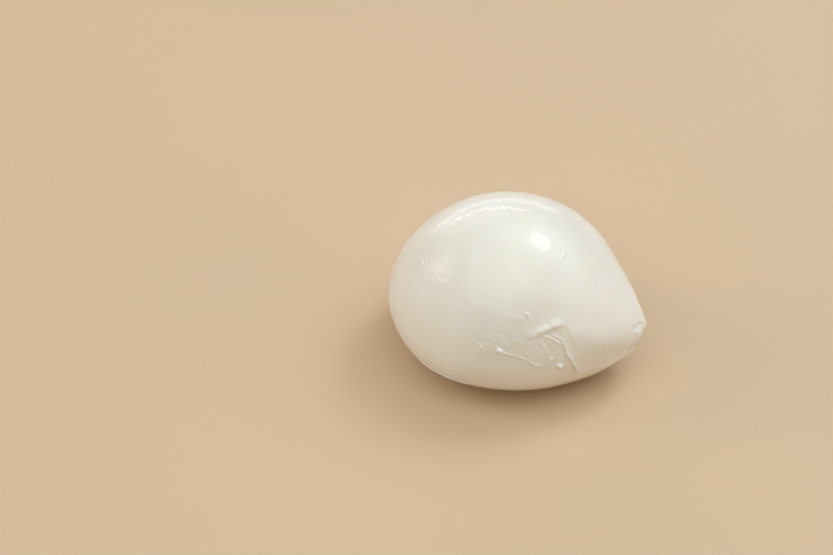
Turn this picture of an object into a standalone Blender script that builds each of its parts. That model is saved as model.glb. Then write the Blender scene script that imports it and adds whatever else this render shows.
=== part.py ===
"""Fresh mozzarella ball: one soft solid, rounded at one end, pinched off to a blunt tip at the other, on its side.

The skin is a unit sphere with every direction moved to its place. A direction is an azimuth and an elevation in
degrees: azimuth 0 is the pinched tip (+X), azimuth -90 the front (-Y) and elevation 90 the crown (+Z).
The origin is the centre of the footprint, on the surface that the ball rests on. Lengths are in metres.
"""

import math
from collections import namedtuple

import bmesh
import bpy
import numpy as np

NAME = "mozzarella_ball"

# The body
HALF_LENGTH = 0.0447
HALF_WIDTH = 0.0400
CROWN_RISE = 0.0338  # skin above the middle plane
BELLY_DROP = 0.0317  # skin below the middle plane, before the cheese settles
MIDDLE_HEIGHT = 0.0265
CROWN_BLEND = 3.0  # how quickly the crown's curve turns into the belly's
SAG = 0.13  # how much wider the lower half has spread under its own weight
SAG_ALONG = 0.7  # the spread's share along the ball, as a power of that across it

# The pinched end
TAPER = 0.39  # how much the section shrinks at the tip
TAPER_POWER = 3.85  # larger keeps the ball full for longer before it tapers
TIP_DROOP = 0.0037
TIP_NIB = 0.0014  # length of the blunt nib that the pinch leaves
NIB_POWER = 20.0

# The footprint
SETTLE_ROUND = 0.0050  # how softly the side turns under into the flat footprint
SETTLE_DEPTH = 0.0015  # how far the cheese is pressed flat

# Soft swells and dents: azimuth, elevation, spread in degrees, height
Swell = namedtuple("Swell", "azimuth elevation spread height")
BODY_SWELLS = [
    Swell(37, 15, 22, -0.0012),  # straight flank behind the tip
    Swell(60, 35, 22, 0.0011),  # shoulder at the back
    Swell(170, 30, 24, -0.0007),  # round end, pressed by its neighbour in the tub
    Swell(-89, -47, 22, -0.0020),  # tucked-in front keel
    Swell(-10, -32, 22, 0.0026),  # jowl under the tip
    Swell(115, 5, 22, -0.0008),  # handling flat at the back
    Swell(160, -30, 20, -0.0006),
    Swell(14, 8, 8, -0.0014),  # beside the nib
    Swell(4, 16, 8, 0.0006),
    Swell(3, 3, 7, 0.0005),  # the nib's knob
    Swell(-10, -2, 7, -0.0006),
    Swell(-3, -11, 8, -0.0016),  # hollow under the knob
    Swell(-19, -29, 8, -0.0007),  # the jowl's end
    Swell(-36, 12, 9, 0.0006),  # soft shoulder right of the folds
    Swell(-36, -6, 9, -0.0005),
]

# Creases run through stops of (azimuth, elevation). height lifts or sinks the line itself over its width,
# and step lifts the skin to the left of the route and sinks it to the right, fading over the reach.
Crease = namedtuple("Crease", "stops width height step reach")
CREASES = [
    Crease([(12, -13), (2, -9), (-6, -5.5), (-12, -5.5), (-16, -9), (-21, -14.5)], 0.0011, -0.0005, 0.0, 0.004),
    Crease([(-4, 11), (-9, 12.8), (-15.5, 13)], 0.0013, -0.0003, 0.0, 0.003),
    Crease([(-73, 17.5), (-68.6, 21.6), (-64, 24), (-58, 26.6), (-53, 27.4)], 0.0013, 0.0, 0.0004, 0.005),
    Crease([(-53, 27), (-51.7, 21.6), (-50, 14.5), (-49.4, 8)], 0.0010, 0.0, 0.0003, 0.004),
    Crease([(-56, 19), (-54, 12.5), (-52.2, 4), (-49.5, -8.5), (-47, -16)], 0.0010, 0.0004, 0.0, 0.004),
    Crease([(-86, 10.5), (-80, 10.5), (-74, 8), (-69, 3.5), (-63, 1)], 0.0011, 0.0004, 0.0, 0.004),
]
CREASE_RUN_IN = 0.25  # share of a crease's length over which it fades in, and out
STEPS_PER_STOP = 8

# The mesh: a cube's faces cut into squares and rounded, with the squares drawn towards the folded front
SQUARES_PER_SIDE = 25
FINE_AZIMUTH, FINE_ELEVATION = -35, 2
FINE_PULL = 0.33

# Ivory, moist skin
SKIN_COLOUR = (0.83, 0.78, 0.68, 1.0)
SKIN_ROUGHNESS = 0.35


def direction(azimuth, elevation):
    """Unit vectors for azimuths and elevations in degrees."""
    azimuth, elevation = np.radians(azimuth), np.radians(elevation)
    level = np.cos(elevation)
    return np.stack([level * np.cos(azimuth), level * np.sin(azimuth), np.sin(elevation)], axis=-1)


def ease(share):
    """Smooth step from 0 to 1."""
    share = np.clip(share, 0.0, 1.0)
    return share * share * (3.0 - 2.0 * share)


def egg(aim):
    """The plain body: a sagging ellipsoid that tapers towards +X and droops there."""
    along = np.clip((1.0 + aim[:, 0]) / 2.0, 0.0, 1.0)  # 0 at the round end, 1 at the tip
    taper = 1.0 - TAPER * along**TAPER_POWER
    spread = 1.0 - SAG * aim[:, 2] * (1.0 - along**2)
    mean_rise = (CROWN_RISE + BELLY_DROP) / 2.0
    extra_rise = (CROWN_RISE - BELLY_DROP) / 2.0
    rise = mean_rise + extra_rise * np.tanh(CROWN_BLEND * aim[:, 2])
    x = HALF_LENGTH * aim[:, 0] * spread**SAG_ALONG + TIP_NIB * along**NIB_POWER
    y = HALF_WIDTH * aim[:, 1] * taper * spread
    z = MIDDLE_HEIGHT - TIP_DROOP * along**3 + rise * aim[:, 2] * taper
    return np.column_stack([x, y, z])


def swelling(aim):
    """How far the soft swells and dents move the skin outwards."""
    height = np.zeros(len(aim))
    for swell in BODY_SWELLS:
        angle = np.arccos(np.clip(aim @ direction(swell.azimuth, swell.elevation), -1.0, 1.0))
        height += swell.height * np.exp(-((angle / math.radians(swell.spread)) ** 2))
    return height


def settled(points):
    """The points with the underside pressed flat at height 0, and the side turning softly into it."""
    z = points[:, 2]
    pressed = (z + np.sqrt(z * z + SETTLE_ROUND**2)) / 2.0 - SETTLE_DEPTH
    return np.column_stack([points[:, :2], np.maximum(pressed, 0.0)])


def smooth_skin(aim):
    """The body with its swells, before any crease."""
    return settled(egg(aim) + swelling(aim)[:, None] * aim)


def route(stops):
    """A Catmull-Rom curve through the stops, as directions and as points on the smooth skin."""
    stops = np.array(stops, dtype=float)
    stops = np.vstack([2 * stops[0] - stops[1], stops, 2 * stops[-1] - stops[-2]])
    angles = []
    for before, start, end, after in zip(stops, stops[1:], stops[2:], stops[3:]):
        for share in np.arange(STEPS_PER_STOP) / STEPS_PER_STOP:
            linear = (end - before) * share
            square = (2 * before - 5 * start + 4 * end - after) * share**2
            cube = (3 * start - before - 3 * end + after) * share**3
            angles.append((2 * start + linear + square + cube) / 2.0)
    angles.append(stops[-2])
    aim = direction(*np.array(angles).T)
    return aim, smooth_skin(aim)


def beside(points, aim, line):
    """Each point's distance from a line, its share along it, and its side: 1 on the left, -1 on the right."""
    runs = line[1:] - line[:-1]
    offset = points[:, None] - line[None, :-1]
    share = np.clip((offset * runs).sum(axis=2) / (runs**2).sum(axis=1), 0.0, 1.0)
    gap = offset - share[..., None] * runs
    distance = np.linalg.norm(gap, axis=2)
    nearest = distance.argmin(axis=1)
    rows = np.arange(len(points))
    left = np.cross(aim[nearest], runs[nearest])
    side = np.sign((left * gap[rows, nearest]).sum(axis=1))
    along = (nearest + share[rows, nearest]) / len(runs)
    return distance[rows, nearest], along, side


def creasing(points):
    """How far the creases move the skin outwards at points of the smooth skin."""
    height = np.zeros(len(points))
    for crease in CREASES:
        aim, line = route(crease.stops)
        distance, along, side = beside(points, aim, line)
        fade = ease(along / CREASE_RUN_IN) * ease((1.0 - along) / CREASE_RUN_IN)
        ridge = crease.height * np.exp(-((distance / crease.width) ** 2))
        drop = crease.step * np.tanh(side * distance / crease.width) * np.exp(-((distance / crease.reach) ** 2))
        height += (ridge + drop) * fade
    return height


def drawn_together(aim, centre, pull):
    """Directions moved towards a centre, close together near it and further apart on the far side."""
    cosine = aim @ centre
    across = aim - cosine[:, None] * centre
    across /= np.maximum(np.linalg.norm(across, axis=1), 1e-9)[:, None]
    pulled = (cosine + pull) / (1.0 + pull * cosine)
    return pulled[:, None] * centre + np.sqrt(np.clip(1.0 - pulled**2, 0.0, 1.0))[:, None] * across


def skin_material():
    material = bpy.data.materials.new("mozzarella_skin")
    material.use_nodes = True
    shader = material.node_tree.nodes["Principled BSDF"]
    shader.inputs["Base Color"].default_value = SKIN_COLOUR
    shader.inputs["Roughness"].default_value = SKIN_ROUGHNESS
    shader.inputs["Metallic"].default_value = 0.0
    material.diffuse_color = SKIN_COLOUR
    return material


def make_ball(collection):
    grid = bmesh.new()
    bmesh.ops.create_cube(grid, size=2.0)
    bmesh.ops.subdivide_edges(grid, edges=grid.edges[:], cuts=SQUARES_PER_SIDE - 1, use_grid_fill=True)

    cube = np.array([vertex.co for vertex in grid.verts])
    aim = np.tan(cube * math.pi / 4.0)
    aim /= np.linalg.norm(aim, axis=1)[:, None]
    aim = drawn_together(aim, direction(FINE_AZIMUTH, FINE_ELEVATION), FINE_PULL)

    points = smooth_skin(aim)
    lift = creasing(points) * (points[:, 2] > 0.0)
    points += lift[:, None] * aim
    points[:, 2] = np.maximum(points[:, 2], 0.0)
    middle = (points.min(axis=0) + points.max(axis=0)) / 2.0
    points[:, :2] -= middle[:2]

    for vertex, point in zip(grid.verts, points):
        vertex.co = point
    mesh = bpy.data.meshes.new(NAME)
    grid.to_mesh(mesh)
    grid.free()
    mesh.shade_smooth()
    mesh.materials.append(skin_material())
    ball = bpy.data.objects.new(NAME, mesh)
    collection.objects.link(ball)
    return ball


def clear_scene():
    for thing in list(bpy.data.objects):
        bpy.data.objects.remove(thing, do_unlink=True)


def main():
    clear_scene()
    collection = bpy.data.collections.new(NAME)
    bpy.context.scene.collection.children.link(collection)
    make_ball(collection)


main()
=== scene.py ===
"""Looks of the fresh mozzarella ball: moist, milky skin with a pinched tip, overlapping folds and fine wrinkles.

The skin is a unit sphere with every direction moved to its place. A direction is an azimuth and an elevation in
degrees: azimuth 0 is the pinched tip (+X), azimuth -90 the front (-Y) and elevation 90 the crown (+Z).
"""

import math
from collections import namedtuple

import bmesh
import bpy
import numpy as np
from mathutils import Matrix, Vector, noise


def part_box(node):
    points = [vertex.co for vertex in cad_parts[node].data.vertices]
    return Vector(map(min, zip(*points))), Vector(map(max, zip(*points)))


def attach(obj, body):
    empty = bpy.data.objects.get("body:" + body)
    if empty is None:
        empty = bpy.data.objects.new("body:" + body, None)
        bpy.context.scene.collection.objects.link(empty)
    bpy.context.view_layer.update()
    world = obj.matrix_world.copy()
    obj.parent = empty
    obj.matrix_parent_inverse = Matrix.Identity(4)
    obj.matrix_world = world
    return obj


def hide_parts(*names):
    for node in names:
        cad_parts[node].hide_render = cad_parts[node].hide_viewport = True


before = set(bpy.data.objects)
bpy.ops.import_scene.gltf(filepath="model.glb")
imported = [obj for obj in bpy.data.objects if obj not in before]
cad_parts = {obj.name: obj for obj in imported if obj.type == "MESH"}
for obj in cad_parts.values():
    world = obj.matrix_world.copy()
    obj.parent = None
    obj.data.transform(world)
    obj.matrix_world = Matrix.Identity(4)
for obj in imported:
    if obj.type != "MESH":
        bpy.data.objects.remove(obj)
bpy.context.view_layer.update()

NODE = "mozzarella_ball"
MM = 0.001

# ---------------------------------------------------------------- the ball's form

HALF_LENGTH = 44.7 * MM
HALF_WIDTH = 40.0 * MM
CROWN_RISE = 33.8 * MM
BELLY_DROP = 31.7 * MM
MIDDLE_HEIGHT = 26.5 * MM
CROWN_BLEND = 3.0
SAG = 0.13
SAG_ALONG = 0.7

TAPER = 0.39
TAPER_POWER = 3.85
TIP_DROOP = 3.7 * MM
TIP_NIB = 1.4 * MM
NIB_POWER = 20.0

SETTLE_ROUND = 5.0 * MM
SETTLE_DEPTH = 1.5 * MM

# Soft swells and dents: azimuth, elevation and spread in degrees, height in mm
Swell = namedtuple("Swell", "azimuth elevation spread height")
BODY_SWELLS = [
    Swell(37, 15, 22, -1.2),  # straight flank behind the tip
    Swell(60, 35, 22, 1.1),  # shoulder at the back
    Swell(170, 30, 24, -0.7),  # round end
    Swell(-89, -47, 22, -2.0),  # tucked-in front keel
    Swell(-10, -32, 22, 2.6),  # jowl under the tip
    Swell(115, 5, 22, -0.8),  # handling flat at the back
    Swell(160, -30, 20, -0.6),
    Swell(14, 8, 8, -1.4),  # beside the nib
    Swell(4, 16, 8, 0.6),
    Swell(3, 3, 7, 0.5),  # the nib's knob
    Swell(-10, -2, 7, -0.6),
    Swell(-3, -11, 8, -1.6),  # hollow under the knob
    Swell(-19, -29, 8, -0.7),  # the jowl's end
    Swell(-36, 12, 9, 0.6),  # soft shoulder right of the folds
    Swell(-36, -6, 9, -0.5),
]
SKIN_DOTS = [
    Swell(-70.7, 33.6, 1.0, 0.15),  # below the speck above the flap
    Swell(-75.2, 18.3, 1.2, 0.15),
    Swell(-79.2, 23.4, 1.0, 0.10),
    Swell(-84.4, 19.7, 1.1, 0.12),
    Swell(-83.0, 15.4, 1.0, 0.12),
    Swell(-53.0, 57.2, 1.1, 0.06),  # specks below the crown
    Swell(-49.3, 52.7, 1.0, 0.05),
    Swell(-50.5, 49.5, 0.9, 0.04),
    Swell(-38.5, 57.4, 0.9, 0.05),
    Swell(-23.4, 60.4, 0.8, 0.05),
    Swell(-76.5, 31.5, 1.8, 0.12),
    Swell(-15.4, 45.3, 1.6, 0.05),
    Swell(-28.0, 40.0, 2.0, 0.06),
    Swell(-12.0, -0.5, 5.5, 0.90),  # the knob's underside
    Swell(-55.0, 24.0, 8.0, 0.30),  # the flap's body
]

# A fold runs through stops of (azimuth, elevation), with its lip on the left. In mm: the lip is ridge high and
# rises over one width and falls over another, the skin right of it sinks by gutter over the width tuck, step lifts
# the left side above the right and fades over reach, and lap pushes the lip over the gutter.
Fold = namedtuple("Fold", "stops rise fall ridge tuck gutter step reach lap", defaults=(0.5, 0.0, 0.0, 2.0, 0.0))
FOLDS = [
    # notch and lower lip at the tip
    Fold([(12, -13), (2, -9), (-6, -5.5), (-10.5, -5.2), (-14.3, -6.8), (-16.2, -9.2), (-17.8, -11.9), (-21, -14.5)],
         0.9, 0.6, 0.22, 0.6, 0.30, 0.1, 2.5, 0.1),
    # groove over the knob
    Fold([(-2.5, 7.6), (-5.4, 8.6), (-8.6, 10.0), (-11.3, 10.4), (-13.5, 10.0), (-16.0, 8.5)],
         1.6, 2.2, 0.40, 0.7, 0.26),
    # the flap's upper edge, the deep end of the hollow under it, and its side
    Fold([(-71.8, 17.8), (-68.8, 20.6), (-66.3, 22.0), (-63.6, 23.4), (-61.1, 24.6), (-58.2, 25.9),
          (-55.3, 26.8), (-52.5, 26.6)], 1.3, 1.3, 0.56, 0.5, 0.03, 0.16, 5.0, 0.30),
    Fold([(-71.6, 18.2), (-70.2, 19.4), (-67.5, 21.4), (-63.6, 23.4), (-60.5, 24.8), (-57.5, 26.1)],
         0.5, 0.5, 0.0, 0.5, 0.09),
    Fold([(-55.5, 28.2), (-53.8, 27.3), (-52.3, 25.0), (-51.7, 21.6), (-50.9, 17.7), (-49.9, 14.3), (-49.7, 10.7),
          (-49.3, 7.0)], 1.0, 0.9, 0.02, 0.6, 0.02, 0.07, 4.0, 0.0),
    # the inner pleats
    Fold([(-61.5, 22.0), (-59.6, 21.4), (-58.0, 20.0), (-56.4, 17.9), (-55.5, 15.8), (-55.1, 12.4), (-54.7, 9.5)],
         0.45, 0.45, 0.30, 1.0, 0.08),
    Fold([(-55.5, 16.5), (-55.1, 12.4), (-54.5, 8.8), (-53.4, 3.9), (-51.7, -2.1), (-50.0, -8.5), (-48.6, -13.8),
          (-47.3, -17)], 0.50, 0.45, 0.60, 1.0, 0.09, 0.08, 3.0, 0.0),
    Fold([(-65.2, 20.9), (-62.4, 20.4), (-60.5, 19.3), (-58.8, 17.7), (-57.4, 16.0), (-56.6, 14)],
         0.45, 0.42, 0.50, 0.5, 0.06),
    Fold([(-61.8, 9.5), (-62.2, 12.0), (-62.8, 14.3), (-64.2, 17.3), (-65.6, 19.8)], 0.50, 0.50, 0.15, 0.7, 0.06),
    # the ring under the pleats
    Fold([(-60.8, 7.2), (-61.9, 5.7), (-63.0, 4.0), (-63.8, 1.6), (-64.0, -0.5)], 0.5, 0.5, 0.22, 0.6, 0.06),
    Fold([(-62.4, 2.2), (-61.9, 0.4), (-61.2, -1.9), (-60.5, -5.0), (-60.0, -9.0), (-60.2, -12)],
         0.45, 0.45, 0.20, 0.6, 0.03),
    # the low pleat
    Fold([(-83.6, 11.0), (-82.4, 10.7), (-80.4, 10.0), (-78.3, 9.3), (-76.2, 8.5), (-74.1, 7.6),
          (-72.1, 6.2), (-70.5, 4.6), (-68.4, 2.4), (-65.8, 0.6), (-63.6, 0.5), (-61.5, 0.8)],
         0.36, 0.50, 0.33, 0.5, 0.0, 0.06, 4.0, 0.0),
    # wrinkles left of it, and the upright pair above
    Fold([(-99.5, 15.0), (-97.8, 14.9), (-95.8, 14.3), (-94, 13.0)], 0.55, 0.55, 0.08),
    Fold([(-96.0, 13.4), (-94.7, 13.1), (-92.3, 12.4), (-90.8, 11.4), (-89.2, 10.4)], 0.45, 0.45, 0.14),
    Fold([(-89.5, 11.6), (-88.0, 10.8), (-87.0, 9.8), (-85.8, 8.0)], 0.40, 0.40, 0.22),
    Fold([(-92.4, 10.9), (-92.0, 10.1), (-91.3, 9.0)], 0.40, 0.40, 0.20),
    Fold([(-85.6, 8.2), (-85.0, 9.2), (-84.4, 10.5), (-83.2, 11.2)], 0.40, 0.40, 0.28),
    Fold([(-89.5, 18.0), (-88.1, 16.6), (-86.6, 15.0), (-85.3, 13.6)], 0.45, 0.45, 0.12),
    Fold([(-78.3, 13.4), (-78.9, 15.2), (-79.9, 17.4), (-81.6, 20.8)], 0.50, 0.50, 0.20, 0.7, 0.04),
    Fold([(-78.6, 14.8), (-78.0, 16.6), (-77.0, 19.2)], 0.40, 0.40, 0.16),
    # long faint crease across the crown
    Fold([(-90, 58), (-82, 53), (-74, 48), (-69, 43)], 1.2, 1.2, 0.015, 0.8, 0.015),
    # faint pull line above the flap
    Fold([(-70.9, 35.5), (-70.7, 32.4), (-70.2, 29.5)], 0.5, 0.4, 0.08, 0.5, 0.06),
    # thin skin lip along the foot, and faint lines near it
    Fold([(-95, -22), (-99, -23.7), (-104.2, -23.9), (-109.6, -23.6), (-117.1, -23.6), (-120.5, -22.3),
          (-124, -20.4), (-127, -17)], 0.5, 0.4, 0.35, 0.4, 0.20, 0.0, 2.0, 0.2),
    Fold([(-113, -14.5), (-110.6, -15.3), (-107.0, -16.5), (-104, -17)], 0.4, 0.35, 0.18),
    Fold([(-103.5, -14.8), (-101.8, -15.5), (-99.0, -17.1), (-96, -18)], 0.4, 0.35, 0.18),
    Fold([(-85, -15), (-82.1, -16.0), (-77.8, -17.7), (-73.4, -18.8), (-70, -18.5)], 0.45, 0.4, 0.16, 0.5, 0.05),
    Fold([(-79, -12.7), (-76.6, -13.5), (-73.5, -15.5), (-71.0, -14.8), (-68, -13)], 0.45, 0.4, 0.16, 0.5, 0.05),
    # comb of dashes and specks beside the crown
    Fold([(-36.0, 64.8), (-40.2, 63.5), (-44.1, 62.1)], 0.40, 0.40, 0.085),
    Fold([(-29.8, 65.3), (-35.5, 63.9), (-40.8, 62.2)], 0.40, 0.40, 0.096),
    Fold([(-25.1, 64.9), (-31.6, 63.4), (-37.6, 61.7)], 0.40, 0.40, 0.096),
    Fold([(-14.6, 65.5), (-25.1, 64.0), (-34.2, 61.7)], 0.50, 0.50, 0.125),
    Fold([(-21.0, 60.8), (-24.9, 60.1)], 0.45, 0.45, 0.125),
    Fold([(-36.6, 58.0), (-39.5, 56.9)], 0.45, 0.45, 0.11),
    Fold([(-49.2, 72.6), (-54.4, 71.4)], 0.5, 0.5, 0.05),
    # crossed dashes on the round end
    Fold([(-149.3, 36.5), (-146.2, 34.2), (-143.5, 31.7)], 0.5, 0.5, 0.17),
    Fold([(-145.4, 38.1), (-142.5, 35.5), (-140.2, 32.8)], 0.5, 0.5, 0.14),
    Fold([(-143.7, 40.1), (-140.6, 37.8), (-138.2, 35.4)], 0.5, 0.5, 0.11),
    Fold([(-151.1, 32.9), (-145.6, 33.9), (-140.7, 34.3)], 0.45, 0.45, 0.13),
    # soft pleats behind, gathered towards the tip
    Fold([(14, 10), (24, 15), (38, 18), (54, 17)], 2.4, 1.9, 0.16, 1.6, 0.08, 0.05, 5.0, 0.0),
    Fold([(16, -4), (28, 0), (42, 1), (58, -1)], 2.2, 1.7, 0.14, 1.5, 0.07, 0.05, 5.0, 0.0),
    Fold([(96, 26), (112, 20), (126, 9), (134, -5)], 2.6, 2.0, 0.14, 1.8, 0.06, 0.07, 5.0, 0.0),
]
RUN_IN = 0.2
DEEP_GUTTER = 0.5  # a gutter this deep, in mm, takes the full painted shade
LOW_SLOPE = 0.25  # a ridge no steeper than this gets no whitening, which is partly stretched skin and partly painted highlight
STEPS_PER_STOP = 12

# No fold is even: over some mm it grows and shrinks by a share, and wanders sideways by some mm
WAVER_LENGTH, WAVER_SHARE, WAVER_SIDEWAYS = 2.4, 0.7, 0.25

# Small shelves of skin that face the light. Each juts out by high mm below a steep upper face that is ramp deep
# and twice half_width wide, and fades over the skirt below. turn is the way the face looks, clockwise from up.
Shelf = namedtuple("Shelf", "azimuth elevation turn half_width ramp skirt high")
SHELVES = [
    Shelf(-82.8, 13.0, 22, 1.00, 0.65, 0.9, 0.95),
    Shelf(-57.0, 0.4, 26, 1.10, 0.70, 1.2, 1.10),
    Shelf(-61.0, 6.9, 5, 0.50, 0.50, 0.8, 0.55),
    Shelf(-71.2, 35.1, 10, 0.36, 0.45, 0.6, 0.30),
]
SHELF_SQUARES = 1.9 * MM  # the mesh is finest this near a shelf

# Short wrinkles in rows. A patch lies at (azimuth, elevation); turn is the way its wrinkles run, in degrees
# clockwise from the way to the crown. In mm: row is half the row's length across the wrinkles, stray how far
# they shift along, and each wrinkle is long by wide by high. twist is how far, in degrees, they turn at random.
Patch = namedtuple("Patch", "azimuth elevation turn count row stray long wide high twist", defaults=(14.0,))
PATCHES = [
    Patch(-39, 75, 60, 50, 4.2, 3.8, 0.7, 0.45, 0.030, 90.0),  # rippled crown
    Patch(-131.0, 42.0, -48, 60, 4.2, 3.8, 0.50, 0.34, 0.060, 60.0),  # crinkles on the round end
    Patch(-126.0, 35.0, -20, 30, 8.0, 1.6, 0.60, 0.36, 0.100),
    Patch(-89.0, 12.2, 150, 34, 3.6, 1.7, 0.55, 0.30, 0.205, 70.0),  # crumpled skin left of the low pleat
    Patch(-93.5, 12.4, 160, 10, 2.2, 1.0, 0.50, 0.30, 0.100, 60.0),
    Patch(-79.5, 17.5, 170, 9, 2.6, 2.4, 0.7, 0.30, 0.075, 50.0),
    Patch(-85.0, 19.0, 140, 9, 2.4, 1.6, 0.7, 0.32, 0.070, 50.0),
    Patch(-73.0, 30.0, 60, 6, 2.5, 2.0, 0.8, 0.40, 0.045),
    Patch(-61.0, 28.0, -25, 10, 4.4, 0.6, 0.9, 0.42, 0.080),  # puckers across the flap's edge
    Patch(-66.5, 24.0, -28, 9, 3.4, 0.8, 0.9, 0.40, 0.110, 20.0),
    Patch(-58.5, 2.5, 150, 12, 2.6, 2.4, 0.6, 0.30, 0.090, 60.0),
    Patch(-60.5, 15.0, 160, 12, 2.8, 2.2, 0.7, 0.32, 0.070, 50.0),
    Patch(-22.0, 44.0, 78, 8, 3.5, 3.0, 0.9, 0.35, 0.018),  # faint marks on the flank
    Patch(-108.3, 44.4, 59, 3, 0.8, 2.0, 2.6, 0.35, 0.028),  # faint streaks
    Patch(-88.6, 44.9, 72, 5, 2.6, 3.0, 2.6, 0.45, 0.022),
    Patch(150, 10, 70, 9, 5.0, 3.0, 1.6, 0.45, 0.050),
    Patch(85, 45, 60, 7, 5.0, 3.0, 1.8, 0.45, 0.040),
]
PATCH_SEED = 7

# The mesh: a cube cut into squares and rounded, with the squares drawn towards the folded front and halved
# twice around the folds and wrinkles
SQUARES_PER_SIDE = 62
FINE_AZIMUTH, FINE_ELEVATION = -60, 10
FINE_PULL = 0.12
HALVING_MARGINS = (2.8 * MM, 1.8 * MM)

# Uneven skin: wavelength and height in mm
UNDULATIONS = [(20.0, 0.08), (7.0, 0.014), (2.6, 0.004)]


def direction(azimuth, elevation):
    """Unit vectors for azimuths and elevations in degrees."""
    azimuth, elevation = np.radians(azimuth), np.radians(elevation)
    level = np.cos(elevation)
    return np.stack([level * np.cos(azimuth), level * np.sin(azimuth), np.sin(elevation)], axis=-1)


def ease(share):
    """Smooth step from 0 to 1."""
    share = np.clip(share, 0.0, 1.0)
    return share * share * (3.0 - 2.0 * share)


def bell(distance, width):
    return np.exp(-((distance / width) ** 2))


def egg(aim):
    """The plain body: a sagging ellipsoid that tapers towards +X and droops there."""
    along = np.clip((1.0 + aim[:, 0]) / 2.0, 0.0, 1.0)
    taper = 1.0 - TAPER * along**TAPER_POWER
    spread = 1.0 - SAG * aim[:, 2] * (1.0 - along**2)
    mean_rise = (CROWN_RISE + BELLY_DROP) / 2.0
    extra_rise = (CROWN_RISE - BELLY_DROP) / 2.0
    rise = mean_rise + extra_rise * np.tanh(CROWN_BLEND * aim[:, 2])
    x = HALF_LENGTH * aim[:, 0] * spread**SAG_ALONG + TIP_NIB * along**NIB_POWER
    y = HALF_WIDTH * aim[:, 1] * taper * spread
    z = MIDDLE_HEIGHT - TIP_DROOP * along**3 + rise * aim[:, 2] * taper
    return np.column_stack([x, y, z])


def swelling(aim, swells):
    """How far soft swells and dents move the skin outwards."""
    height = np.zeros(len(aim))
    for swell in swells:
        angle = np.arccos(np.clip(aim @ direction(swell.azimuth, swell.elevation), -1.0, 1.0))
        height += swell.height * MM * bell(angle, math.radians(swell.spread))
    return height


def settled(points):
    """The points with the underside pressed flat at height 0, and the side turning softly into it."""
    z = points[:, 2]
    pressed = (z + np.sqrt(z * z + SETTLE_ROUND**2)) / 2.0 - SETTLE_DEPTH
    return np.column_stack([points[:, :2], np.maximum(pressed, 0.0)])


def smooth_skin(aim):
    """The body with its swells, before any fold."""
    return settled(egg(aim) + swelling(aim, BODY_SWELLS)[:, None] * aim)


def route(stops):
    """A Catmull-Rom curve through the stops, as directions and as points on the smooth skin."""
    stops = np.array(stops, dtype=float)
    stops = np.vstack([2 * stops[0] - stops[1], stops, 2 * stops[-1] - stops[-2]])
    angles = []
    for before, start, end, after in zip(stops, stops[1:], stops[2:], stops[3:]):
        for share in np.arange(STEPS_PER_STOP) / STEPS_PER_STOP:
            linear = (end - before) * share
            square = (2 * before - 5 * start + 4 * end - after) * share**2
            cube = (3 * start - before - 3 * end + after) * share**3
            angles.append((2 * start + linear + square + cube) / 2.0)
    angles.append(stops[-2])
    aim = direction(*np.array(angles).T)
    return aim, smooth_skin(aim)


def beside(points, aim, line):
    """Each point's distance left of a line (right is negative), its share along it, and the way to the left."""
    runs = line[1:] - line[:-1]
    offset = points[:, None] - line[None, :-1]
    share = np.clip((offset * runs).sum(axis=2) / (runs**2).sum(axis=1), 0.0, 1.0)
    gap = offset - share[..., None] * runs
    distance = np.linalg.norm(gap, axis=2)
    nearest = distance.argmin(axis=1)
    rows = np.arange(len(points))
    left = np.cross(aim[nearest], runs[nearest])
    left /= np.linalg.norm(left, axis=1)[:, None]
    side = np.sign((left * gap[rows, nearest]).sum(axis=1))
    along = (nearest + share[rows, nearest]) / len(runs)
    return side * distance[rows, nearest], along, left


def waver(line, start):
    """Smooth random numbers along a line, about -0.5 to 0.5."""
    return np.array([noise.noise(Vector(spot) / (WAVER_LENGTH * MM) + Vector((start, 0.0, 0.0))) for spot in line])


def fold_skin(points, aim):
    """Moves the skin by every fold. Also says, from 0 to 1, how deep in a gutter and how high on a ridge it is: the
    gutters get painted shade, the ridges a whitening that is partly stretched skin and partly painted highlight.
    """
    lift = np.zeros(len(points))
    slide = np.zeros_like(points)
    hollow_shade = np.zeros(len(points))
    crest = np.zeros(len(points))
    for fold in FOLDS:
        line_aim, line = route(fold.stops)
        rise, fall, tuck, reach = (size * MM for size in (fold.rise, fold.fall, fold.tuck, fold.reach))
        near = np.where(gap_to(points, line[::4]) < 3.0 * max(reach, 2.0 * rise))[0]
        left, along, way = beside(points[near], line_aim, line)
        shares = np.linspace(0.0, 1.0, len(line))
        fade = ease(along / RUN_IN) * ease((1.0 - along) / RUN_IN)
        fade *= 1.0 + WAVER_SHARE * np.interp(along, shares, waver(line, 0.0))
        left += WAVER_SIDEWAYS * MM * np.interp(along, shares, waver(line, 9.0))
        past_crest = left - fall
        ridge = fold.ridge * np.where(past_crest > 0.0, bell(past_crest, rise), bell(past_crest, fall))
        gutter = fold.gutter * bell(left + 0.6 * tuck, tuck)
        step = fold.step * np.tanh(left / (0.7 * fall)) * bell(left, reach)
        lift[near] += (ridge - gutter + step) * fade * MM
        lap = fold.lap * MM * bell(past_crest, fall) * fade
        slide[near] -= lap[:, None] * way
        depth = min(1.0, fold.gutter / DEEP_GUTTER)
        hollow_shade[near] = np.maximum(hollow_shade[near], depth * bell(left + 0.5 * tuck, tuck) * fade)
        height = min(1.0, max(0.0, fold.ridge / fold.fall - LOW_SLOPE))
        crest[near] = np.maximum(crest[near], height * bell(past_crest, 0.8 * rise) * fade)
    return points + lift[:, None] * aim + slide, hollow_shade, crest


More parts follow.
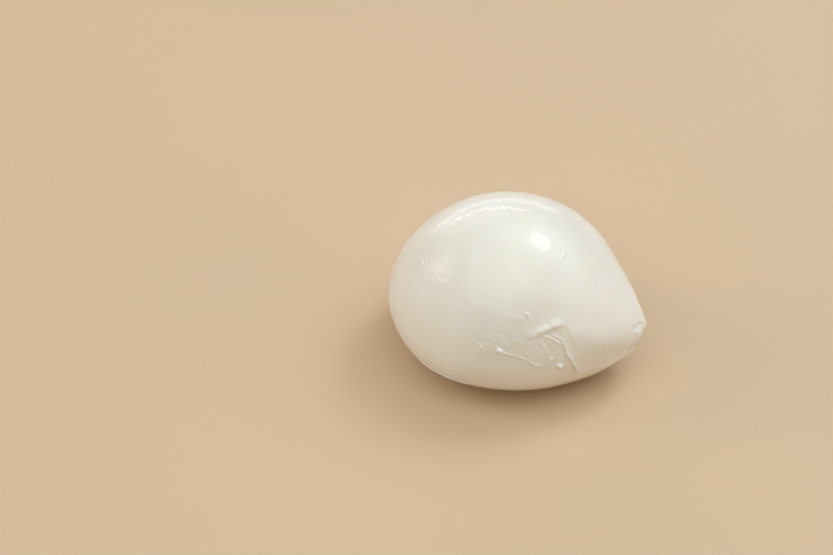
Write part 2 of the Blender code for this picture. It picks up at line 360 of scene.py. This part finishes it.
def shelf_skin(points):
    """How far the shelves lift the skin, and from 0 to 1 how near each point is to a shelf's face, which the
    material whitens as a painted highlight.
    """
    lift = np.zeros(len(points))
    crest = np.zeros(len(points))
    for shelf in SHELVES:
        middle, up_way, side_way = patch_ways(shelf)
        offset = (points - middle) / MM
        near = np.linalg.norm(offset, axis=1) < 3.0 * max(shelf.half_width, shelf.skirt)
        up, side = offset @ up_way, offset @ side_way
        face = ease(0.5 - up / shelf.ramp)
        skirt = bell(np.minimum(up + 0.5 * shelf.ramp, 0.0), shelf.skirt)
        ends = bell(side, shelf.half_width)
        lift += near * shelf.high * MM * face * skirt * ends
        crest = np.maximum(crest, near * ends * bell(up, shelf.ramp))
    return lift, crest


def gap_to(points, places):
    """Each point's distance from the nearest of some places."""
    return np.min([np.linalg.norm(points - place, axis=1) for place in places], axis=0)


def patch_ways(patch):
    """A patch's middle on the skin, and the directions there along its wrinkles and across them."""
    nudge = 0.5
    angles = [(0, 0), (0, nudge), (0, -nudge), (nudge, 0), (-nudge, 0)]
    spots = np.array(angles) + (patch.azimuth, patch.elevation)
    middle, upper, lower, right, left = smooth_skin(direction(*spots.T))
    outward = np.cross(right - left, upper - lower)
    up = (upper - lower) / np.linalg.norm(upper - lower)
    side = np.cross(up, outward)
    side /= np.linalg.norm(side)
    turn = math.radians(patch.turn)
    return middle, math.cos(turn) * up + math.sin(turn) * side, math.cos(turn) * side - math.sin(turn) * up


def wrinkling(points):
    """How far the short wrinkles lift the skin."""
    height = np.zeros(len(points))
    chance = np.random.default_rng(PATCH_SEED)
    for patch in PATCHES:
        middle, along_way, across_way = patch_ways(patch)
        near = np.where(np.linalg.norm(points - middle, axis=1) < patch_reach(patch))[0]
        offset = points[near] - middle
        along, across = offset @ along_way / MM, offset @ across_way / MM
        for place in np.linspace(-patch.row, patch.row, patch.count):
            sideways = place + chance.uniform(-0.3, 0.3) * 2.0 * patch.row / patch.count
            lengthways = chance.uniform(-patch.stray, patch.stray)
            bend = math.radians(chance.uniform(-patch.twist, patch.twist))
            size = chance.uniform(0.6, 1.3)
            from_side, from_end = across - sideways, along - lengthways
            run = math.cos(bend) * from_end + math.sin(bend) * from_side
            gap = math.cos(bend) * from_side - math.sin(bend) * from_end
            height[near] += patch.high * size * bell(gap, patch.wide) * bell(run, patch.long * size)
    return height * MM


def patch_reach(patch):
    return (math.hypot(patch.row, patch.stray) + 1.5 * patch.long) * MM


def uneven(points):
    """Small random swells of the skin, in metres."""
    height = np.zeros(len(points))
    for wavelength, swing in UNDULATIONS:
        scale = 1.0 / (wavelength * MM)
        height += swing * MM * np.array([noise.noise(Vector(point) * scale) for point in points])
    return height


def drawn_together(aim, centre, pull):
    """Directions moved towards a centre, close together near it and further apart on the far side."""
    cosine = aim @ centre
    across = aim - cosine[:, None] * centre
    across /= np.maximum(np.linalg.norm(across, axis=1), 1e-9)[:, None]
    pulled = (cosine + pull) / (1.0 + pull * cosine)
    return pulled[:, None] * centre + np.sqrt(np.clip(1.0 - pulled**2, 0.0, 1.0))[:, None] * across


def fitted(points):
    """The points scaled and moved into the CAD node's box."""
    low, high = (np.array(corner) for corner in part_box(NODE))
    raw_low, raw_high = points.min(axis=0), points.max(axis=0)
    return low + (points - raw_low) * (high - low) / (raw_high - raw_low)


def skin_aim(grid):
    """The direction of every corner of the cube grid."""
    corners = np.array([corner.co for corner in grid.verts])
    aim = np.tan(corners * math.pi / 4.0)
    aim /= np.linalg.norm(aim, axis=1)[:, None]
    return drawn_together(aim, direction(FINE_AZIMUTH, FINE_ELEVATION), FINE_PULL)


def near_detail(points, margin):
    """Whether each point lies near a fold or in a patch of wrinkles."""
    near = np.zeros(len(points), dtype=bool)
    for fold in FOLDS:
        near |= gap_to(points, route(fold.stops)[1][::3]) < margin
    for patch in PATCHES:
        near |= gap_to(points, patch_ways(patch)[:1]) < patch_reach(patch)
    return near


def halve_squares(grid, near):
    """Cuts the squares whose corners are all marked as near into four."""
    grid.verts.index_update()
    edges = [edge for edge in grid.edges if near[edge.verts[0].index] and near[edge.verts[1].index]]
    bmesh.ops.subdivide_edges(grid, edges=edges, cuts=1, use_grid_fill=True)


def skin_grid():
    """A cube from -1 to 1 with its faces cut into squares, smaller near folds, wrinkles and shelves."""
    grid = bmesh.new()
    bmesh.ops.create_cube(grid, size=2.0)
    bmesh.ops.subdivide_edges(grid, edges=grid.edges[:], cuts=SQUARES_PER_SIDE - 1, use_grid_fill=True)
    for margin in HALVING_MARGINS:
        halve_squares(grid, near_detail(smooth_skin(skin_aim(grid)), margin))
    shelf_middles = [patch_ways(shelf)[0] for shelf in SHELVES]
    halve_squares(grid, gap_to(smooth_skin(skin_aim(grid)), shelf_middles) < SHELF_SQUARES)
    return grid


def make_ball():
    grid = skin_grid()
    aim = skin_aim(grid)
    points = smooth_skin(aim)
    on_foot = points[:, 2] <= 0.0
    folded, hollow_shade, crest = fold_skin(points, aim)
    shelf_lift, shelf_crest = shelf_skin(points)
    lift = uneven(points) + swelling(aim, SKIN_DOTS) + wrinkling(points) + shelf_lift
    points = np.where(on_foot[:, None], points, folded + lift[:, None] * aim)
    points[:, 2] = np.maximum(points[:, 2], 0.0)
    points = fitted(points)

    mesh = bpy.data.meshes.new("mozzarella_skin")
    grid.to_mesh(mesh)
    grid.free()
    mesh.vertices.foreach_set("co", points.ravel())
    # The first attribute carries painted shade in the gutters, the second a whitening of ridges and shelf faces,
    # partly stretched skin and partly painted highlight
    for name, values in (("hollow_shade", hollow_shade), ("crest", np.maximum(crest, shelf_crest))):
        layer = mesh.attributes.new(name, "FLOAT", "POINT")
        layer.data.foreach_set("value", np.clip(values, 0.0, 1.0).astype(np.float32))
    mesh.shade_smooth()
    mesh.update()
    ball = bpy.data.objects.new("mozzarella_skin", mesh)
    bpy.context.scene.collection.objects.link(ball)
    return ball


# ---------------------------------------------------------------- materials

MILK = (0.900, 0.872, 0.785, 1.0)
CREAM = (0.880, 0.845, 0.745, 1.0)
# White for ridges and shelf faces: partly thin stretched skin, partly a painted highlight where they catch the light
STRETCHED_AND_HIGHLIGHT_WHITE = (0.955, 0.940, 0.895, 1.0)
# Tan for the fold gutters and the gap under the flap's lip: painted shade
HOLLOW_PAINTED_SHADE = (0.74, 0.64, 0.46, 1.0)
FLOOR_COLOUR = (0.69, 0.505, 0.32, 1.0)


class Nodes:
    """Short ways to add and join the nodes of one material."""

    def __init__(self, name):
        self.material = bpy.data.materials.new(name)
        self.material.use_nodes = True
        self.tree = self.material.node_tree
        self.shader = self.tree.nodes["Principled BSDF"]

    def add(self, kind, **settings):
        node = self.tree.nodes.new(kind)
        for name, value in settings.items():
            setattr(node, name, value)
        return node

    def join(self, source, target):
        self.tree.links.new(source, target)

    def noise(self, place, scale, detail=2.0, roughness=0.5):
        node = self.add("ShaderNodeTexNoise")
        node.inputs["Scale"].default_value = scale
        node.inputs["Detail"].default_value = detail
        node.inputs["Roughness"].default_value = roughness
        self.join(place, node.inputs["Vector"])
        return node.outputs["Fac"]

    def stretched(self, place, scale, turn=(0.0, 0.0, 0.0)):
        node = self.add("ShaderNodeMapping")
        node.inputs["Scale"].default_value = scale
        node.inputs["Rotation"].default_value = turn
        self.join(place, node.inputs["Vector"])
        return node.outputs["Vector"]

    def remap(self, value, low, high, new_low, new_high):
        node = self.add("ShaderNodeMapRange", interpolation_type="SMOOTHSTEP")
        for socket, amount in zip(("From Min", "From Max", "To Min", "To Max"), (low, high, new_low, new_high)):
            node.inputs[socket].default_value = amount
        self.join(value, node.inputs["Value"])
        return node.outputs["Result"]

    def math(self, operation, first, second):
        node = self.add("ShaderNodeMath", operation=operation)
        for socket, value in zip(node.inputs, (first, second)):
            if isinstance(value, (int, float)):
                socket.default_value = value
            else:
                self.join(value, socket)
        return node.outputs["Value"]

    def mix(self, share, first, second, blend="MIX"):
        node = self.add("ShaderNodeMix", data_type="RGBA", blend_type=blend)
        for socket, value in ((node.inputs[0], share), (node.inputs[6], first), (node.inputs[7], second)):
            if isinstance(value, (int, float, tuple)):
                socket.default_value = value
            else:
                self.join(value, socket)
        return node.outputs[2]

    def bump(self, height, distance, strength=1.0, under=None):
        node = self.add("ShaderNodeBump")
        node.inputs["Strength"].default_value = strength
        node.inputs["Distance"].default_value = distance
        self.join(height, node.inputs["Height"])
        if under is not None:
            self.join(under, node.inputs["Normal"])
        return node.outputs["Normal"]

    def set(self, **values):
        for name, value in values.items():
            self.shader.inputs[name.replace("_", " ")].default_value = value


def skin_material():
    nodes = Nodes("mozzarella_skin")
    place = nodes.add("ShaderNodeTexCoord").outputs["Object"]
    hollow_shade = nodes.add("ShaderNodeAttribute", attribute_name="hollow_shade").outputs["Fac"]
    crest = nodes.add("ShaderNodeAttribute", attribute_name="crest").outputs["Fac"]

    clouds = nodes.noise(place, 55.0, 3.0)
    fibres = nodes.noise(nodes.stretched(place, (40.0, 260.0, 260.0)), 1.0, 3.0)
    share = nodes.math("ADD", nodes.math("MULTIPLY", clouds, 0.65), nodes.math("MULTIPLY", fibres, 0.35))
    ivory = nodes.mix(nodes.remap(share, 0.35, 0.65, 0.0, 1.0), MILK, CREAM)
    # Ridges and shelf faces whitened: partly thin stretched skin, partly a painted highlight where they catch the
    # light
    whitened = nodes.mix(nodes.math("MULTIPLY", crest, 0.8), ivory, STRETCHED_AND_HIGHLIGHT_WHITE)
    # Fold gutters darkened towards tan: painted shade
    with_painted_shade = nodes.mix(nodes.math("MULTIPLY", hollow_shade, 0.5), whitened, HOLLOW_PAINTED_SHADE)
    nodes.join(with_painted_shade, nodes.shader.inputs["Base Color"])

    damp = nodes.noise(place, 160.0, 2.0)
    nodes.join(nodes.remap(damp, 0.3, 0.7, 0.46, 0.56), nodes.shader.inputs["Roughness"])

    peel = nodes.noise(place, 800.0, 2.0)
    grain = nodes.noise(place, 3000.0, 2.0)
    rough_normal = nodes.bump(grain, 0.00003, 0.5, nodes.bump(peel, 0.0001, 0.5))
    nodes.join(rough_normal, nodes.shader.inputs["Normal"])
    nodes.join(nodes.bump(peel, 0.0001, 0.5), nodes.shader.inputs["Coat Normal"])

    nodes.set(
        Metallic=0.0,
        IOR=1.42,
        Subsurface_Weight=1.0,
        Subsurface_Radius=(1.0, 0.84, 0.66),
        Subsurface_Scale=0.0017,
        Coat_Weight=1.0,
        Coat_Roughness=0.07,
        Coat_IOR=1.36,
    )
    return nodes.material


def floor_material():
    nodes = Nodes("studio_floor")
    place = nodes.add("ShaderNodeTexCoord").outputs["Object"]
    shade = nodes.remap(nodes.noise(place, 3.0, 2.0), 0.3, 0.7, 0.98, 1.0)
    nodes.join(nodes.mix(1.0, FLOOR_COLOUR, shade, "MULTIPLY"), nodes.shader.inputs["Base Color"])
    nodes.set(Roughness=0.75)
    return nodes.material


# ---------------------------------------------------------------- studio

FLOOR_HALF = 3.0
WORLD_COLOUR = (1.0, 0.72, 0.52, 1.0)
WORLD_STRENGTH = 0.07

CAMERA_AZIMUTH = 18.8
CAMERA_ELEVATION = 41.3
CAMERA_DISTANCE = 0.8577
CAMERA_LENS = 101.6
SENSOR_WIDTH = 36.0
AIM_POINT = Vector((-0.0452, 0.0231, 0.0))
BALL_MIDDLE = Vector((0.0, 0.0, 0.028))

# Soft boxes: azimuth and elevation as the ball sees them, distance, width, height, tilt, power, colour
Softbox = namedtuple("Softbox", "name azimuth elevation distance width height tilt power colour")
SOFTBOXES = [
    Softbox("key", 148, 54, 1.2, 0.30, 0.36, 20, 2.2, (0.84, 0.91, 1.0)),
    Softbox("halo", 146, 52, 1.5, 1.1, 1.1, 0, 3.0, (0.77, 0.87, 1.0)),
    Softbox("silk_back", 118, 60, 1.8, 2.4, 2.2, 0, 17.6, (0.79, 0.93, 1.0)),
    Softbox("silk_front", -10, 62, 1.8, 1.8, 1.8, 0, 14.5, (0.98, 1.0, 0.97)),
    Softbox("fill", -80, 33, 1.3, 0.50, 0.45, 0, 2.1, (1.0, 0.94, 0.90)),
    Softbox("left_low", -60, 14, 2.0, 2.6, 1.1, 0, 8.4, (0.90, 0.94, 1.0)),
    Softbox("back_left", -140, 30, 1.8, 1.4, 0.9, 0, 2.6, (1.0, 0.83, 0.95)),
    Softbox("back_low", -155, 6, 2.4, 2.6, 0.45, 0, 4.6, (0.96, 1.0, 0.98)),
    Softbox("rim", -152, 22.5, 1.4, 1.3, 0.04, -12, 1.0, (1.0, 1.0, 1.0)),
    Softbox("rim_side", -132, 8, 1.4, 0.02, 0.40, 0, 0.07, (1.0, 1.0, 1.0)),
    Softbox("right_low", 90, 14, 1.8, 1.6, 0.7, 0, 5.1, (1.0, 0.81, 0.78)),
]


def towards(azimuth, elevation):
    """The way from the ball to a light or camera: azimuth 0 is in front (-Y), 90 at the right (+X)."""
    azimuth, elevation = math.radians(azimuth), math.radians(elevation)
    level = math.cos(elevation)
    return Vector((math.sin(azimuth) * level, -math.cos(azimuth) * level, math.sin(elevation)))


def facing(thing, target, tilt=0.0):
    """Turns a light or camera to look at a target."""
    turn = (target - thing.location).to_track_quat("-Z", "Y").to_euler()
    thing.rotation_euler = turn
    thing.rotation_euler.rotate_axis("Z", math.radians(tilt))


def make_floor():
    grid = bmesh.new()
    bmesh.ops.create_grid(grid, x_segments=8, y_segments=8, size=FLOOR_HALF)
    mesh = bpy.data.meshes.new("studio_floor")
    grid.to_mesh(mesh)
    grid.free()
    floor = bpy.data.objects.new("studio_floor", mesh)
    floor.location.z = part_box(NODE)[0][2]
    bpy.context.scene.collection.objects.link(floor)
    mesh.materials.append(floor_material())


def make_softbox(box):
    light = bpy.data.lights.new(box.name, "AREA")
    light.shape = "RECTANGLE"
    light.size = box.width
    light.size_y = box.height
    light.energy = box.power
    light.color = box.colour
    lamp = bpy.data.objects.new(box.name, light)
    lamp.location = BALL_MIDDLE + towards(box.azimuth, box.elevation) * box.distance
    bpy.context.scene.collection.objects.link(lamp)
    facing(lamp, BALL_MIDDLE, box.tilt)


def make_world():
    world = bpy.data.worlds.new("studio")
    world.use_nodes = True
    background = world.node_tree.nodes["Background"]
    background.inputs["Color"].default_value = WORLD_COLOUR
    background.inputs["Strength"].default_value = WORLD_STRENGTH
    bpy.context.scene.world = world


def make_camera():
    lens = bpy.data.cameras.new("camera")
    lens.lens = CAMERA_LENS
    lens.sensor_width = SENSOR_WIDTH
    lens.clip_start = 0.05
    camera = bpy.data.objects.new("camera", lens)
    camera.location = AIM_POINT + towards(CAMERA_AZIMUTH, CAMERA_ELEVATION) * CAMERA_DISTANCE
    bpy.context.scene.collection.objects.link(camera)
    facing(camera, AIM_POINT)
    bpy.context.scene.camera = camera


def main():
    ball = make_ball()
    ball.data.materials.append(skin_material())
    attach(ball, "root")
    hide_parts(NODE)
    make_floor()
    make_world()
    for box in SOFTBOXES:
        make_softbox(box)
    make_camera()
    bpy.context.scene.view_settings.view_transform = "Standard"


main()
